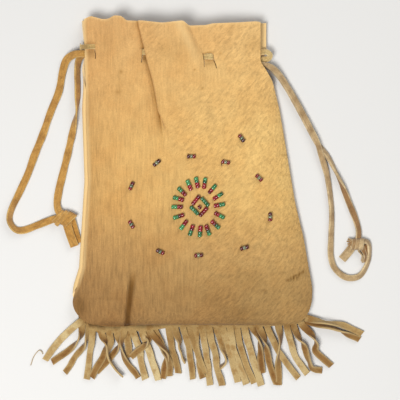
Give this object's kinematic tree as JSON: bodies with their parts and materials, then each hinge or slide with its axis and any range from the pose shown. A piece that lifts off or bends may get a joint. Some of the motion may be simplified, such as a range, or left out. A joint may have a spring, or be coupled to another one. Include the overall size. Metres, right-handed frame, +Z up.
{
  "type": "beaded medicine bag",
  "caption": "Small drawstring pouch of smoke-tanned buckskin with leather laces, a cut fringe and a sun of seed beads, lying on its back.",
  "frame": {"origin": "on the floor under the middle of the bag with its fringe, the lace strands and knots left out", "axes": "+Y towards the mouth of the bag, +Z up through the beaded front, +X to the side of the greyer lace's ends"},
  "size_m": [0.2015, 0.2022, 0.0146],
  "materials": {
    "buckskin": "matte",
    "fringe_hide": "matte",
    "left_thong": "matte",
    "right_thong": "matte",
    "red_glass": "gloss",
    "green_glass": "gloss"
  },
  "bodies": {
    "root": {"front_panel": "buckskin", "back_panel": "buckskin", "fringe_front": "fringe_hide", "fringe_back": "fringe_hide", "left_lace_held": "left_thong", "left_lace_front_strand": "left_thong", "left_lace_back_strand": "left_thong", "left_lace_knot": "left_thong", "right_lace_held": "right_thong", "right_lace_front_strand": "right_thong", "right_lace_back_strand": "right_thong", "right_lace_knot": "right_thong", "sun_ray_1_red": "red_glass", "sun_ray_1_green": "green_glass", "sun_ray_2_red": "red_glass", "sun_ray_2_green": "green_glass", "sun_ray_3_red": "red_glass", "sun_ray_3_green": "green_glass", "sun_ray_4_red": "red_glass", "sun_ray_4_green": "green_glass", "sun_ray_5_red": "red_glass", "sun_ray_5_green": "green_glass", "sun_ray_6_red": "red_glass", "sun_ray_6_green": "green_glass", "sun_ray_7_red": "red_glass", "sun_ray_7_green": "green_glass", "sun_ray_8_red": "red_glass", "sun_ray_8_green": "green_glass", "sun_ray_9_red": "red_glass", "sun_ray_9_green": "green_glass", "sun_ray_10_red": "red_glass", "sun_ray_10_green": "green_glass", "sun_ray_11_red": "red_glass", "sun_ray_11_green": "green_glass", "sun_ray_12_red": "red_glass", "sun_ray_12_green": "green_glass", "sun_ray_13_red": "red_glass", "sun_ray_13_green": "green_glass", "sun_ray_14_red": "red_glass", "sun_ray_14_green": "green_glass", "sun_ray_15_red": "red_glass", "sun_ray_15_green": "green_glass", "sun_ray_16_red": "red_glass", "sun_ray_16_green": "green_glass", "sun_diamond_side_1": "green_glass", "sun_diamond_side_2": "red_glass", "sun_diamond_side_3": "green_glass", "sun_diamond_side_4": "red_glass", "sun_centre_bead": "red_glass", "accent_1": "red_glass", "accent_2": "red_glass", "accent_3": "red_glass", "accent_4": "red_glass", "accent_5": "red_glass", "accent_6": "red_glass", "accent_7": "red_glass", "accent_8": "red_glass", "accent_9": "red_glass", "accent_10": "red_glass", "accent_11": "red_glass"}
  },
  "joints": []
}
